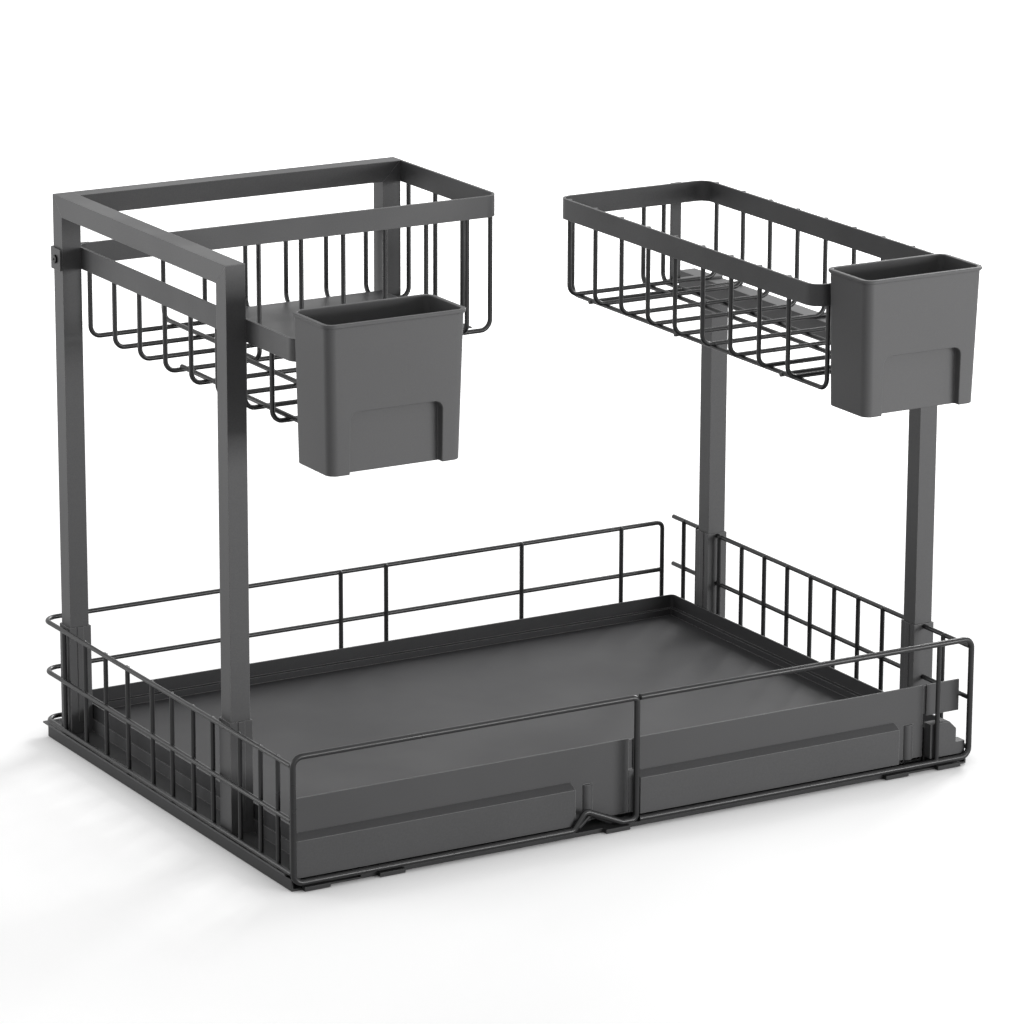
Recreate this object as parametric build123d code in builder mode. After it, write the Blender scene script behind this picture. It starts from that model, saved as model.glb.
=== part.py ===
from build123d import *
import os

# Pull-out organizer for the cupboard under a sink, in millimetres.
# +X is the width, +Y runs to the back of the cupboard, +Z is up.
# The origin is the middle of the four floor screws, on the cupboard floor.
os.makedirs("parts", exist_ok=True)

# Overall sizes
fence_width = 566.0          # between the planes of the two side fences
fence_depth = 404.0          # from the plane of the front loops to the back fence
frame_height = 420.0         # top of the left frame

# Stock that the frame is made of
tube = 15.0
tube_wall = 1.2
wire_r = 1.75                # fence and basket wire
loop_r = 2.2                 # heavier wire of the front loops
band_height = 16.0           # flat strip of the basket rims
band = 2.0
band_corner_r = 11.0
sheet = 1.2                  # folded sheet of rails and panels
pan_sheet = 1.0
contact = 0.1                # gap between pieces that are welded or pressed together
running = 0.4                # gap between the sliding members
weld = 0.8                   # how far crossing wires sink into each other
overrun = 1.0                # how far a cut runs past the face that it opens

left_x = -fence_width / 2
right_x = fence_width / 2
front_y = -fence_depth / 2
back_y = fence_depth / 2

# Base rails on the cupboard floor, and the two slides
rail_height = 8.2
rail_front_gap = 3.0         # from the loop plane to the front end of the rails
rail_back_gap = 6.0
rail_width = 54.0
slide_outer = 26.0           # width over the slide channel of a rail
slide_height = 10.8
lip = 3.0
middle_front_gap = 22.0      # from the front of the channel to the middle member
middle_rear_gap = 19.4       # from the rear end of the member to that of the rail
runner_gap = 9.0             # from the rear end of the tray runner to that of the rail
runner_height = 7.6          # top of the runner's guided part
runner_stem_inset = 3.4
stop_width = 14.0
stop_height = 7.0
cross_bar_width = 20.0
cross_bar_thick = 3.0
tab_reach = 4.5              # how far the foot tabs stand out in front of the rails
tab_width = 20.0
tab_shares = (0.136, 0.46, 0.886)   # middles of the tabs, clear of the slides' members
rail_tab_inset = 8.0
rail_tab_width = 20.0        # ends at the slide's channel, so the member clears it
floor_hole_r = 2.5
floor_hole_inset = 14.0      # from the outer face of a rail
floor_hole_end = 20.0        # from the front and back fence planes

# Tray: folded side rails carry a pan
frame_bottom = 8.8
left_web_inset = 21.5        # outer face of the left side rail, from the left fence plane
right_web_inset = 8.9        # the same on the right
rear_web_inset = 5.2
flange_overhang = 1.0        # the flange reaches this far past the wires that stand on it
right_flange_reach = 8.8     # past the right fence plane, under the right sockets
web_top = 19.5
pan_floor = 14.3             # underside of the pan
shelf = 5.0
rim_top = 31.0
pan_step = 4.7               # width of the pan's inner step
pan_inset = 0.7              # rim of the pan, from the outer face of a web
pan_corner_r = 4.0

# Front of the tray
panel_back = 10.0            # face of the front panels, from the loop plane
panel_top = 64.0
panel_gap = 4.0              # gap between the upper parts of the panels
end_gap = 3.0                # gap between the right panel and the end piece
panel_left_inset = 3.0
front_split_share = 0.4876   # the two front loops meet at this share of the width
panel_lap = 0.5              # the left panel ends this far short of the loops' joint
right_panel_inset = 35.0     # from the right fence plane
end_piece_inset = 3.0
panel_low_edge = 40.0        # lower edge of the end piece
channel_front = 2.4          # face of the lower channels, from the loop plane
channel_top = 35.6
channel_slope = 3.6
left_channel_short = 49.0    # the left channel ends this far short of the loops' joint
right_channel_gap = 5.0      # and the right one starts this far past it
right_channel_inset = 61.0   # from the right fence plane
rib_r = 5.0
rib_proud = 2.4
joiner_width = 34.0
bracket_inset = 10.0         # bracket at the right end, from the right fence plane
bracket_width = 23.0
bracket_top = 35.0
bracket_cut = 6.0
bracket_step = 8.0
bracket_step_top = 18.4

# Front loops of wire, and the fences
loop_low = 6.4
loop_high = 97.5
loop_corner_r = 7.0
join_corner_r = 3.6          # where the left loop meets the right one
bump_far = 52.0              # left and right ends of the bump, from the loops' joint
bump_near = 12.0
bump_rise = 13.0
bump_lean = 10.0             # run of the bump's steep left slope
bump_r = 4.0
pull_drop = 4.6              # how far the second wire's bump stays below the first
pull_reach = 8.0
right_upright_inset = 29.0   # upright of the right loop, from the right fence plane
fence_mid = 51.5
fence_high = 91.0
fence_corner_r = 12.0
fence_end_r = 5.0
upright_inset = 1.5          # the uprights sit this far inside the long wires
upright_over = 0.7           # and end this far above the middle of the top wire
left_upright_shares = (
    0.062, 0.126, 0.203, 0.307, 0.383, 0.467, 0.546, 0.646, 0.737, 0.823, 0.914,
)
back_upright_shares = (0.448, 0.519, 0.736, 0.9)    # clear of the slides
back_fence_inset = 17.0      # right end of the back fence, from the right fence plane
right_front_share = 0.084
right_middle_first = 43.7    # first upright of the middle right fence, from the front post
right_middle_last = 14.3     # and the last one, from the rear post
right_middle_count = 8
right_rear_shares = (0.929, 0.98)
fence_free_run = 10.0        # the right fence reaches this far past the back fence

# Posts and the sockets that hold them, measured from the fence planes
left_post_inset = 12.7
front_left_post_back = 109.8
rear_left_post_inset = 31.0  # from the back fence plane
front_right_post_back = 69.7
rear_right_post_inset = 47.0
socket_wall = 1.1
socket_top = 93.0
socket_rib = 0.6
socket_rib_width = 5.0
socket_screw_height = 36.0
screw_r = 1.9
screw_head_r = 3.2
screw_head = 1.6
screw_end_run = 3.0

# Left frame: hanging post and guard band
hanger_reach = 279.5         # middle of the hanging post, from the left fence plane
guard_gap = 18.4             # from the rear arm's front wire to the face of the guard band
cap_thick = 1.2
cap_plug = 7.0

# Left basket
left_rim_drop = 39.0         # top of the rim, below the top of the frame
left_basket_deep = 66.0      # from there to the middle of the lower wires
left_rim_front = 30.0        # from the loop plane
left_arm_width = 115.0       # from the rim to the inner edge wire
wire_bend_r = 8.0
cross_wire_back = 44.0       # rearmost wire from side to side, from the back fence plane
cross_wire_front = 41.6      # and the front one, from the face of the rim
rear_cross_count = 4
front_cross_count = 4
long_wire_shares = (0.13, 0.565, 1.0)    # wires along the arm, from the rim to the inner edge
rear_wire_first = 92.0       # first wire across the rear arm, from the left fence plane
rear_wire_last = 16.5        # and the last one, from the middle of the hanging post
rear_wire_count = 6
plate_thick = 1.0
plate_start = 118.0
strap_lap = 14.0

# Right basket, the tube that carries it, and its strap
right_rim_top = 380.0
right_basket_inset = 9.0     # from the right fence plane
right_basket_width = 136.0
right_rim_front = 2.0        # from the loop plane
right_rim_inset = 46.0       # back of the rim, from the back fence plane
right_tube_drop = 81.0       # top of the tube, below the top of the rim
right_tube_front = 50.0
right_tube_inset = 6.0       # rear end of the tube, from the back fence plane
right_wire_first = 38.0      # first wire from side to side, from the front of the rim
right_wire_last = 12.4       # and the last one, from its back
right_wire_count = 9
right_long_shares = (0.11, 0.585, 0.72)        # wires along the basket, across its width
runner_wire_shares = (0.1535, 0.51, 0.817)     # wires out to the tube, along the depth
wire_tip = 0.3               # how far the wires end below the top of the rim
back_strap_width = 9.0
back_strap_inset = 32.0      # left edge of the strap, from the basket's right side
back_strap_foot = 10.0

# Cups that hang on the front of the baskets
cup_wall = 2.2
cup_corner_r = 7.0
cup_taper = 2.6
cup_lip = 1.6
cup_lip_height = 2.4
cup_gap = 0.3
recess_share = 0.17          # the recess leaves this share of the cup's width on each side
recess_height = 43.0
recess_deep = 5.6
recess_r = 6.0
hook_width = 14.0
hook_thick = 1.8
hook_drop = 10.0
left_cup_width = 107.0
left_cup_depth = 52.0
left_cup_height = 105.0
left_cup_rise = 21.0         # top of the cup, above the rim
left_cup_left = 17.0         # from the left fence plane
left_hook_places = (33.0, 86.0)
right_cup_width = 100.0
right_cup_depth = 51.0
right_cup_height = 100.0
right_cup_rise = 12.0
right_cup_offset = 10.0      # from the left side of the right basket
right_hook_places = (28.0, 57.0)

# Heights and planes that several pieces share
flange_top = frame_bottom + sheet
panel_y = front_y + panel_back
side_front_y = panel_y + sheet
carriage_y = side_front_y + shelf + running
rear_web_y = back_y - rear_web_inset
left_web = left_x + left_web_inset
right_web = right_x - right_web_inset
hollow = tube - 2 * tube_wall
socket_hole = tube + 2 * contact
socket = socket_hole + 2 * socket_wall
left_post_x = left_x + left_post_inset
left_post_face = left_post_x + tube / 2
front_left_post_y = front_y + front_left_post_back
rear_left_post_y = back_y - rear_left_post_inset
front_right_post_y = front_y + front_right_post_back
rear_right_post_y = back_y - rear_right_post_inset
frame_back_y = rear_left_post_y + tube / 2
left_rim_top = frame_height - left_rim_drop
rim_screw_z = left_rim_top - band_height / 2
rim_screw_y = front_left_post_y - tube / 4
right_tube_top = right_rim_top - right_tube_drop
loop_join_x = left_x + front_split_share * fence_width
split_x = loop_join_x - panel_lap
left_channel_x1 = loop_join_x - left_channel_short
right_channel_x1 = right_x - right_channel_inset
right_panel_x1 = right_x - right_panel_inset
ring_x1 = right_x - right_basket_inset
ring_x0 = ring_x1 - right_basket_width


def profile_plane(y):
    """A plane across the width at a given depth; its normal points to the front."""
    return Plane(origin=(0, y, 0), x_dir=(1, 0, 0), z_dir=(0, -1, 0))


def side_plane(x):
    """A plane across the depth at a given width; its normal points right."""
    return Plane(origin=(x, 0, 0), x_dir=(0, 1, 0), z_dir=(1, 0, 0))


def patch(a0, b0, a1, b1, mode=Mode.ADD):
    """A rectangle between two corners, in the sketch that is open."""
    with Locations((a0, b0)):
        Rectangle(a1 - a0, b1 - b0, align=(Align.MIN, Align.MIN), mode=mode)


def block(low, high, mode=Mode.ADD):
    """A box between two corners, in the part that is open."""
    with Locations(low):
        Box(
            high[0] - low[0], high[1] - low[1], high[2] - low[2],
            align=(Align.MIN, Align.MIN, Align.MIN), mode=mode,
        )


def bent_wire(points, bends, radius, closed=False):
    """One length of wire, bent at each inner point."""
    with BuildPart() as wire:
        with BuildLine() as route:
            if bends:
                FilletPolyline(*points, radius=bends, close=closed)
            else:
                Line(*points)
        with BuildSketch(Plane(origin=route.line @ 0, z_dir=route.line % 0)):
            Circle(radius)
        if bends:
            sweep()
        else:
            extrude(amount=route.edge().length)
    return wire.part


def bent_band(points, bends, top):
    """A flat strip on edge that follows points in plan; they lie on its middle plane."""
    with BuildPart() as strip:
        with BuildSketch(Plane.XY.offset(top - band_height)):
            with BuildLine() as route:
                FilletPolyline(*points, radius=bends)
            trace(route.line, band)
        extrude(amount=band_height)
    return strip.part


# Base: one folded rail on each side, with the outer channel of its slide
rail_back_y = back_y - rail_back_gap
rail_front_y = front_y + rail_front_gap
channel_u0 = left_x + rail_width - slide_outer
channel_u1 = left_x + rail_width
with BuildPart() as left_base_rail:
    with BuildSketch(profile_plane(rail_back_y)):
        patch(left_x, 0, channel_u1, sheet)
        patch(left_x, 0, left_x + sheet, rail_height)
    extrude(amount=rail_back_y - rail_front_y)
    with BuildSketch(profile_plane(rail_back_y)):
        patch(channel_u0, 0, channel_u0 + sheet, slide_height)
        patch(channel_u1 - sheet, 0, channel_u1, slide_height)
        patch(channel_u0, slide_height - sheet, channel_u0 + sheet + lip, slide_height)
        patch(channel_u1 - sheet - lip, slide_height - sheet, channel_u1, slide_height)
    extrude(amount=rail_back_y - carriage_y)
    block(
        (left_x + rail_tab_inset, rail_front_y - tab_reach, 0),
        (left_x + rail_tab_inset + rail_tab_width, rail_front_y, cross_bar_thick),
    )
    with Locations(
        (left_x + floor_hole_inset, front_y + floor_hole_end, sheet),
        (left_x + floor_hole_inset, back_y - floor_hole_end, sheet),
    ):
        Hole(radius=floor_hole_r, depth=sheet + overrun)

# Middle member of a slide: a lipped channel that runs inside the rail's channel
step = sheet + running
middle_u0 = channel_u0 + step
middle_u1 = channel_u1 - step
middle_top = slide_height - step
middle_back_y = rail_back_y - middle_rear_gap
with BuildPart() as left_slide_middle:
    with BuildSketch(profile_plane(middle_back_y)):
        patch(middle_u0, step, middle_u1, step + sheet)
        patch(middle_u0, step, middle_u0 + sheet, middle_top)
        patch(middle_u1 - sheet, step, middle_u1, middle_top)
        patch(middle_u0, middle_top - sheet, middle_u0 + sheet + lip, middle_top)
        patch(middle_u1 - sheet - lip, middle_top - sheet, middle_u1, middle_top)
    extrude(amount=middle_back_y - carriage_y - middle_front_gap)

# Runner under the tray: a hat section that the middle member guides
runner_u0 = middle_u0 + step
runner_u1 = middle_u1 - step
runner_back_y = rail_back_y - runner_gap
stem_u0 = runner_u0 + runner_stem_inset
stem_u1 = runner_u1 - runner_stem_inset
with BuildPart() as left_tray_runner:
    with BuildSketch(profile_plane(runner_back_y)):
        patch(runner_u0, 2 * step, runner_u1, 2 * step + sheet)
        patch(runner_u0, 2 * step, runner_u0 + sheet, runner_height)
        patch(runner_u1 - sheet, 2 * step, runner_u1, runner_height)
        patch(stem_u0, 2 * step, stem_u0 + sheet, pan_floor)
        patch(stem_u1 - sheet, 2 * step, stem_u1, pan_floor)
        patch(runner_u0, pan_floor - sheet, runner_u1, pan_floor)
    extrude(amount=runner_back_y - carriage_y)

# Rubber stop at the rear end of each rail
stop_x = (channel_u0 + channel_u1) / 2
with BuildPart() as left_rear_stop:
    block(
        (stop_x - stop_width / 2, runner_back_y + running, sheet),
        (stop_x + stop_width / 2, rail_back_y, sheet + stop_height),
    )

# The right-hand members are mirror images of the left-hand ones
for left_piece, name in (
    (left_base_rail.part, "base_rail"),
    (left_slide_middle.part, "slide_middle"),
    (left_tray_runner.part, "tray_runner"),
    (left_rear_stop.part, "rear_stop"),
):
    with BuildPart() as right_piece:
        add(left_piece)
        mirror(about=Plane.YZ, mode=Mode.REPLACE)
    left_piece.label = f"left_{name}"
    export_step(left_piece, f"parts/left_{name}.step")
    right_piece.part.label = f"right_{name}"
    export_step(right_piece.part, f"parts/right_{name}.step")

# Flat bars that tie the base rails together; the front one has foot tabs
with BuildPart() as front_cross_bar:
    block(
        (left_x + rail_width, rail_front_y, 0),
        (right_x - rail_width, rail_front_y + cross_bar_width, cross_bar_thick),
    )
    for share in tab_shares:
        tab_x = left_x + share * fence_width - tab_width / 2
        block((tab_x, rail_front_y - tab_reach, 0), (tab_x + tab_width, rail_front_y, cross_bar_thick))
front_cross_bar.part.label = "front_cross_bar"
export_step(front_cross_bar.part, "parts/front_cross_bar.step")

with BuildPart() as rear_cross_bar:
    block(
        (left_x + rail_width, rail_back_y - cross_bar_width, 0),
        (right_x - rail_width, rail_back_y, cross_bar_thick),
    )
rear_cross_bar.part.label = "rear_cross_bar"
export_step(rear_cross_bar.part, "parts/rear_cross_bar.step")

# Side rails of the tray: a web, a flange under the fence, and a shelf for the pan
for web, way, flange_end, name in (
    (left_web, -1, left_x - flange_overhang, "left_side_rail"),
    (right_web, 1, right_x + right_flange_reach, "right_side_rail"),
):
    inner = web - way * sheet
    shelf_end = inner - way * shelf
    with BuildPart() as side_rail:
        with BuildSketch(profile_plane(rear_web_y)):
            patch(min(web, inner), frame_bottom, max(web, inner), web_top)
            patch(min(inner, flange_end), frame_bottom, max(inner, flange_end), flange_top)
        extrude(amount=rear_web_y - side_front_y)
        with BuildSketch(profile_plane(rear_web_y - sheet)):
            patch(min(inner, shelf_end), pan_floor - sheet, max(inner, shelf_end), pan_floor)
        extrude(amount=rear_web_y - sheet - side_front_y)
    side_rail.part.label = name
    export_step(side_rail.part, f"parts/{name}.step")

# Rear rail of the tray, cut away over the two slides
with BuildPart() as rear_rail:
    with BuildSketch(side_plane(left_web + sheet)):
        patch(rear_web_y - sheet, frame_bottom, rear_web_y, web_top)
    extrude(amount=right_web - left_web - 2 * sheet)
    block(
        (left_x - flange_overhang, rear_web_y, frame_bottom),
        (right_x + right_flange_reach, back_y + flange_overhang, flange_top),
    )
    block(
        (left_web + sheet + shelf, rear_web_y - sheet - shelf, pan_floor - sheet),
        (right_web - sheet - shelf, rear_web_y - sheet, pan_floor),
    )
    for u0, u1 in ((channel_u0, channel_u1), (-channel_u1, -channel_u0)):
        block(
            (u0 - contact, rear_web_y - sheet - overrun, frame_bottom - overrun),
            (u1 + contact, back_y + flange_overhang + overrun, pan_floor - sheet),
            Mode.SUBTRACT,
        )
rear_rail.part.label = "rear_rail"
export_step(rear_rail.part, "parts/rear_rail.step")

# Pan: a shallow tray with a raised rim and a step inside the rim
pan_left = left_web + pan_inset
pan_right = right_web - pan_inset
pan_front = side_front_y + pan_inset
pan_back = rear_web_y - pan_inset
pan_width = pan_right - pan_left
pan_depth = pan_back - pan_front
pan_middle = ((pan_left + pan_right) / 2, (pan_front + pan_back) / 2)
well_width = pan_width - 2 * pan_step
well_depth = pan_depth - 2 * pan_step
with BuildPart() as tray_pan:
    with BuildSketch(Plane.XY.offset(web_top)):
        with Locations(pan_middle):
            RectangleRounded(pan_width, pan_depth, pan_corner_r)
    extrude(amount=rim_top - web_top)
    with BuildSketch(Plane.XY.offset(web_top + pan_sheet)):
        with Locations(pan_middle):
            RectangleRounded(
                pan_width - 2 * pan_sheet, pan_depth - 2 * pan_sheet, pan_corner_r - pan_sheet,
            )
    extrude(amount=rim_top - web_top, mode=Mode.SUBTRACT)
    with BuildSketch(Plane.XY.offset(pan_floor)):
        with Locations(pan_middle):
            Rectangle(well_width + 2 * pan_sheet, well_depth + 2 * pan_sheet)
    extrude(amount=web_top + pan_sheet - pan_floor)
    with BuildSketch(Plane.XY.offset(pan_floor + pan_sheet)):
        with Locations(pan_middle):
            Rectangle(well_width, well_depth)
    extrude(amount=web_top - pan_floor, mode=Mode.SUBTRACT)
tray_pan.part.label = "tray_pan"
export_step(tray_pan.part, "parts/tray_pan.step")

# Front panels: upright sheets with a shelf behind that carries the pan, and a pressed rib
left_rib_x = (left_channel_x1 + split_x) / 2 - 2 * rib_r
right_rib_x = (right_channel_x1 + right_panel_x1) / 2
for start, end, shelf_start, rib_x, name in (
    (left_x + panel_left_inset, split_x, left_web + sheet + shelf, left_rib_x, "left_front_panel"),
    (split_x + running, right_panel_x1, split_x + running, right_rib_x, "right_front_panel"),
):
    with BuildPart() as front_panel:
        block((start, panel_y, frame_bottom), (end, side_front_y, panel_top))
        block(
            (shelf_start, side_front_y, pan_floor - sheet), (end, side_front_y + shelf, pan_floor),
        )
        with BuildSketch(Plane.XY.offset(frame_bottom)):
            with Locations((rib_x, panel_y - rib_proud + rib_r)):
                Circle(rib_r)
            patch(rib_x - rib_r, side_front_y, rib_x + rib_r, side_front_y + 2 * rib_r, Mode.SUBTRACT)
        extrude(amount=channel_top - frame_bottom)
        block(
            (split_x, panel_y - overrun, panel_low_edge),
            (split_x + panel_gap, side_front_y + overrun, panel_top + overrun), Mode.SUBTRACT,
        )
    front_panel.part.label = name
    export_step(front_panel.part, f"parts/{name}.step")

with BuildPart() as front_end_piece:
    block(
        (right_panel_x1 + end_gap, panel_y, panel_low_edge),
        (right_x - end_piece_inset, side_front_y, panel_top),
    )
front_end_piece.part.label = "front_end_piece"
export_step(front_end_piece.part, "parts/front_end_piece.step")

# Plates behind the gaps between the panels
for middle, name in (
    (split_x + panel_gap / 2, "middle_joiner"),
    (right_panel_x1 + end_gap / 2, "end_joiner"),
):
    with BuildPart() as joiner:
        block(
            (middle - joiner_width / 2, side_front_y, panel_low_edge + sheet),
            (middle + joiner_width / 2, side_front_y + sheet, panel_top - sheet),
        )
    joiner.part.label = name
    export_step(joiner.part, f"parts/{name}.step")

# Lower channels: pressings with a sloped top and closed ends, open at the back
channel_face = front_y + channel_front
for start, end, name in (
    (left_x + panel_left_inset, left_channel_x1, "left_lower_channel"),
    (loop_join_x + right_channel_gap, right_channel_x1, "right_lower_channel"),
):
    with BuildPart() as lower_channel:
        with BuildSketch(side_plane(start)):
            with BuildLine():
                Polyline(
                    (channel_face, frame_bottom), (panel_y, frame_bottom),
                    (panel_y, channel_top + channel_slope), (channel_face, channel_top),
                    close=True,
                )
            make_face()
        extrude(amount=end - start)
        with BuildSketch(side_plane(start + sheet)):
            with BuildLine():
                Polyline(
                    (channel_face + sheet, flange_top), (panel_y, flange_top),
                    (panel_y, channel_top + channel_slope - sheet),
                    (channel_face + sheet, channel_top - sheet), close=True,
                )
            make_face()
        extrude(amount=end - start - 2 * sheet, mode=Mode.SUBTRACT)
    lower_channel.part.label = name
    export_step(lower_channel.part, f"parts/{name}.step")

# Bracket that closes the right end of the front, below the end piece
bracket_x1 = right_x - bracket_inset
bracket_x0 = bracket_x1 - bracket_width
with BuildPart() as end_bracket:
    with BuildSketch(profile_plane(side_front_y)):
        with BuildLine():
            Polyline(
                (bracket_x0, frame_bottom), (bracket_x1 + bracket_step, frame_bottom),
                (bracket_x1 + bracket_step, bracket_step_top), (bracket_x1, bracket_step_top),
                (bracket_x1, bracket_top - bracket_cut), (bracket_x1 - bracket_cut, bracket_top),
                (bracket_x0, bracket_top), close=True,
            )
        make_face()
    extrude(amount=side_front_y - channel_face)
    block(
        (bracket_x0 + sheet, channel_face + sheet, frame_bottom - overrun),
        (bracket_x1 - sheet, side_front_y + overrun, bracket_top - bracket_cut - sheet),
        Mode.SUBTRACT,
    )
end_bracket.part.label = "end_bracket"
export_step(end_bracket.part, "parts/end_bracket.step")

# Front loops: heavy wire bent into rounded rectangles, with a bump as a finger pull
bump_x0 = loop_join_x - bump_far
bump_x1 = loop_join_x - bump_near
left_front_loop = bent_wire(
    (
        (left_x, front_y, loop_high), (left_x, front_y, loop_low), (bump_x0, front_y, loop_low),
        (bump_x0 + bump_lean, front_y, loop_low + bump_rise), (bump_x1, front_y, loop_low),
        (loop_join_x, front_y, loop_low), (loop_join_x, front_y, loop_high),
    ),
    [loop_corner_r, loop_corner_r, bump_r, bump_r, bump_r, bump_r, join_corner_r],
    loop_r, closed=True,
)
left_front_loop.label = "left_front_loop"
export_step(left_front_loop, "parts/left_front_loop.step")

right_loop_x0 = loop_join_x + loop_r + contact
upright_x = right_x - right_upright_inset
with BuildPart() as right_front_loop:
    add(bent_wire(
        (
            (right_loop_x0, front_y, loop_high), (right_x, front_y, loop_high),
            (right_x, front_y, loop_low), (right_loop_x0, front_y, loop_low),
        ),
        [loop_corner_r, loop_corner_r], loop_r,
    ))
    add(bent_wire(((upright_x, front_y, loop_low), (upright_x, front_y, loop_high)), None, wire_r))
right_front_loop.part.label = "right_front_loop"
export_step(right_front_loop.part, "parts/right_front_loop.step")

# Finger pull: a second bumped wire close behind the left loop
pull_y = front_y + loop_r + wire_r + contact
pull_x0 = left_channel_x1 + 2 * wire_r
finger_pull = bent_wire(
    (
        (pull_x0, pull_y, loop_low),
        (pull_x0 + bump_lean, pull_y, loop_low + bump_rise - pull_drop),
        (bump_x1 - pull_reach, pull_y, loop_low), (loop_join_x - loop_r, pull_y, loop_low),
    ),
    [bump_r, bump_r], wire_r,
)
finger_pull.label = "finger_pull"
export_step(finger_pull, "parts/finger_pull.step")

# Fences: upright wires welded to the inner side of three long wires
fence_low = slide_height + running + wire_r     # clears the slides of the base
fence_levels = (fence_low, fence_mid, fence_high)
corner_y = back_y - fence_corner_r - 2 * wire_r


def upright(x, y):
    """A straight upright of a fence, from the flange to the top wire."""
    return bent_wire(((x, y, flange_top + contact), (x, y, fence_high + upright_over)), None, wire_r)


with BuildPart() as left_fence:
    for z in fence_levels:
        start = (left_x, front_y + loop_r + contact, z)
        add(bent_wire((start, (left_x, corner_y - contact, z)), None, wire_r))
    for share in left_upright_shares:
        add(upright(left_x + upright_inset, front_y + share * fence_depth))
left_fence.part.label = "left_fence"
export_step(left_fence.part, "parts/left_fence.step")

# The back fence turns the rear left corner, and its top wire turns down at the right end
back_end_x = right_x - back_fence_inset
with BuildPart() as back_fence:
    add(bent_wire(
        (
            (left_x, corner_y, fence_high), (left_x, back_y, fence_high),
            (back_end_x, back_y, fence_high), (back_end_x, back_y, flange_top + contact),
        ),
        [fence_corner_r, fence_end_r], wire_r,
    ))
    for z in (fence_low, fence_mid):
        turn = ((left_x, corner_y, z), (left_x, back_y, z), (back_end_x, back_y, z))
        add(bent_wire(turn, [fence_corner_r], wire_r))
    for share in back_upright_shares:
        add(upright(left_x + share * fence_width, back_y - upright_inset))
back_fence.part.label = "back_fence"
export_step(back_fence.part, "parts/back_fence.step")

# Right fence: three lengths that butt against the sockets
butt = socket / 2 + contact
first_y = front_right_post_y + right_middle_first
middle_pitch = (rear_right_post_y - right_middle_last - first_y) / (right_middle_count - 1)
for name, start, end, places in (
    ("right_fence_front", front_y + loop_r + contact, front_right_post_y - butt,
     [front_y + right_front_share * fence_depth]),
    ("right_fence_middle", front_right_post_y + butt, rear_right_post_y - butt,
     [first_y + i * middle_pitch for i in range(right_middle_count)]),
    ("right_fence_rear", rear_right_post_y + butt, back_y + fence_free_run,
     [front_y + share * fence_depth for share in right_rear_shares]),
):
    with BuildPart() as right_fence:
        for z in fence_levels:
            stop = min(end, back_y) if z == fence_low else end
            add(bent_wire(((right_x, start, z), (right_x, stop, z)), None, wire_r))
        for y in places:
            add(upright(right_x - upright_inset, y))
    right_fence.part.label = name
    export_step(right_fence.part, f"parts/{name}.step")

# Sockets: short square tubes on the tray's flange, each with a pressed rib
post_places = (
    ("front_left", left_post_x, front_left_post_y),
    ("rear_left", left_post_x, rear_left_post_y),
    ("front_right", right_x, front_right_post_y),
    ("rear_right", right_x, rear_right_post_y),
)
for name, x, y in post_places:
    rib_half = socket_rib_width / 2
    rib_low = web_top + contact
    with BuildPart() as post_socket:
        with BuildSketch(Plane.XY.offset(flange_top)):
            with Locations((x, y)):
                Rectangle(socket, socket)
                Rectangle(socket_hole, socket_hole, mode=Mode.SUBTRACT)
        extrude(amount=socket_top - flange_top)
        if x == left_post_x:
            rib_y = y - socket / 2
            block((x - rib_half, rib_y - socket_rib, rib_low), (x + rib_half, rib_y, socket_top))
        else:
            rib_x = x - socket / 2
            block((rib_x - socket_rib, y - rib_half, rib_low), (rib_x, y + rib_half, socket_top))
        with Locations(Plane(origin=(x, y + socket / 2, socket_screw_height), z_dir=(0, 1, 0))):
            Hole(radius=screw_r + contact, depth=2 * socket_wall)
    post_socket.part.label = f"{name}_socket"
    export_step(post_socket.part, f"parts/{name}_socket.step")


def post_tube(x, y, top):
    """A square tube that stands in a socket, with the hole for its screw."""
    with BuildPart() as post:
        with BuildSketch(Plane.XY.offset(flange_top)):
            with Locations((x, y)):
                Rectangle(tube, tube)
                Rectangle(hollow, hollow, mode=Mode.SUBTRACT)
        extrude(amount=top - flange_top)
        with Locations(Plane(origin=(x, y + tube / 2, socket_screw_height), z_dir=(0, 1, 0))):
            Hole(radius=screw_r + contact, depth=2 * tube_wall)
    return post.part


# Right posts end under the tube that carries the basket
for name, y in (("front_right_post", front_right_post_y), ("rear_right_post", rear_right_post_y)):
    right_post = post_tube(right_x, y, right_tube_top - tube)
    right_post.label = name
    export_step(right_post, f"parts/{name}.step")

# Left posts are mitred to the top tube and drilled for the screws of the rim
for name, way, y, screw_x, screw_y, screw_way in (
    ("front_left_post", 1, front_left_post_y, left_post_face, rim_screw_y, 1),
    ("rear_left_post", -1, rear_left_post_y, left_post_face - tube, rear_left_post_y, -1),
):
    outer_y = y - way * tube / 2
    inner_y = y + way * (tube / 2 + overrun)
    with BuildPart() as left_post:
        add(post_tube(left_post_x, y, frame_height))
        with BuildSketch(side_plane(left_post_face + overrun)):
            with BuildLine():
                Polyline(
                    (outer_y, frame_height), (inner_y, frame_height),
                    (inner_y, frame_height - tube - overrun), close=True,
                )
            make_face()
        extrude(amount=-tube - 2 * overrun, mode=Mode.SUBTRACT)
        with Locations(Plane(origin=(screw_x, screw_y, rim_screw_z), z_dir=(screw_way, 0, 0))):
            Hole(radius=screw_r + contact, depth=2 * tube_wall)
    left_post.part.label = name
    export_step(left_post.part, f"parts/{name}.step")

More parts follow.
